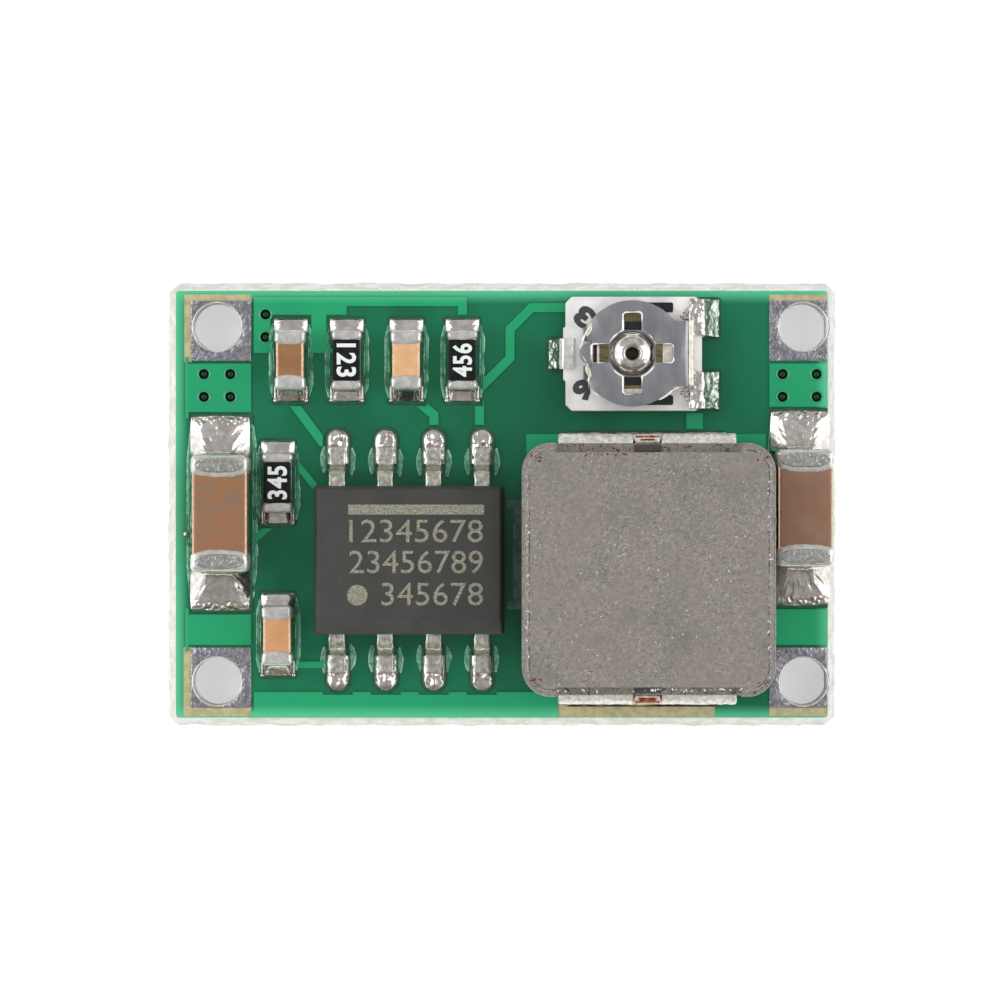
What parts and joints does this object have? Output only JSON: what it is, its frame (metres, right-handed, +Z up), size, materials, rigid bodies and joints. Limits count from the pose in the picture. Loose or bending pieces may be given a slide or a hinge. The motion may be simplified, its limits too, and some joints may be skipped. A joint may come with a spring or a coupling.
{
  "type": "buck converter module",
  "caption": "Small step-down power converter board with a moulded inductor, an open trimmer that turns, a converter chip, chip parts and plated corner holes.",
  "frame": {"origin": "middle of the board's underside", "axes": "+X from the input end to the output end, +Y towards the trimmer, +Z up out of the parts side"},
  "size_m": [0.0178, 0.0118, 0.0038],
  "materials": {
    "solder_mask": "glossy green mask over glass-fibre laminate",
    "tinned_copper": "levelled tin over copper",
    "capacitor_ceramic_large": "matt grey-brown ceramic",
    "capacitor_ceramic_brown": "matt brown ceramic",
    "capacitor_ceramic_tan": "matt tan ceramic",
    "end_cap_tin": "matt plated tin",
    "solder": "bright solder",
    "substrate": "white alumina",
    "overcoat": "black glass overcoat",
    "mould_compound": "matt black moulding compound",
    "lead_tin": "matt tin plating",
    "pressed_iron": "warm grey pressed iron powder",
    "copper_wire": "bare copper",
    "strap_tin": "tinned copper strap",
    "trimmer_ceramic": "glazed white ceramic",
    "cermet": "black resistive film",
    "rotor_steel": "satin grey sheet metal",
    "terminal_plate": "bright plated sheet"
  },
  "bodies": {
    "board_assembly": {"input_ground_terminal": "tinned_copper", "input_positive_terminal": "tinned_copper", "output_ground_terminal": "tinned_copper", "output_positive_terminal": "tinned_copper", "printed_circuit_board": "solder_mask", "component_pads": "tinned_copper", "input_capacitor_ceramic": "capacitor_ceramic_large", "input_capacitor_end_caps": "end_cap_tin", "input_capacitor_solder": "solder", "output_capacitor_ceramic": "capacitor_ceramic_large", "output_capacitor_end_caps": "end_cap_tin", "output_capacitor_solder": "solder", "soft_start_capacitor_ceramic": "capacitor_ceramic_brown", "soft_start_capacitor_end_caps": "end_cap_tin", "soft_start_capacitor_solder": "solder", "compensation_capacitor_ceramic": "capacitor_ceramic_tan", "compensation_capacitor_end_caps": "end_cap_tin", "compensation_capacitor_solder": "solder", "bootstrap_capacitor_ceramic": "capacitor_ceramic_tan", "bootstrap_capacitor_end_caps": "end_cap_tin", "bootstrap_capacitor_solder": "solder", "compensation_resistor_substrate": "substrate", "compensation_resistor_overcoat": "overcoat", "compensation_resistor_end_caps": "end_cap_tin", "compensation_resistor_solder": "solder", "feedback_resistor_substrate": "substrate", "feedback_resistor_overcoat": "overcoat", "feedback_resistor_end_caps": "end_cap_tin", "feedback_resistor_solder": "solder", "enable_resistor_substrate": "substrate", "enable_resistor_overcoat": "overcoat", "enable_resistor_end_caps": "end_cap_tin", "enable_resistor_solder": "solder", "chip_body": "mould_compound", "chip_leads": "lead_tin", "chip_solder": "solder", "inductor_core": "pressed_iron", "inductor_winding": "copper_wire", "inductor_straps": "strap_tin", "inductor_solder": "solder", "trimmer_base": "trimmer_ceramic", "trimmer_track": "cermet", "trimmer_wiper_terminal": "terminal_plate", "trimmer_end_terminals": "terminal_plate", "trimmer_solder": "solder"},
    "rotor": {"trimmer_rotor": "rotor_steel"}
  },
  "joints": [
    {"name": "trimmer_turn", "type": "hinge", "parent": "board_assembly", "child": "rotor", "pos_m": [0.00343, 0.00396, 0.0019], "axis": [0, 0, 1], "continuous": true}
  ]
}
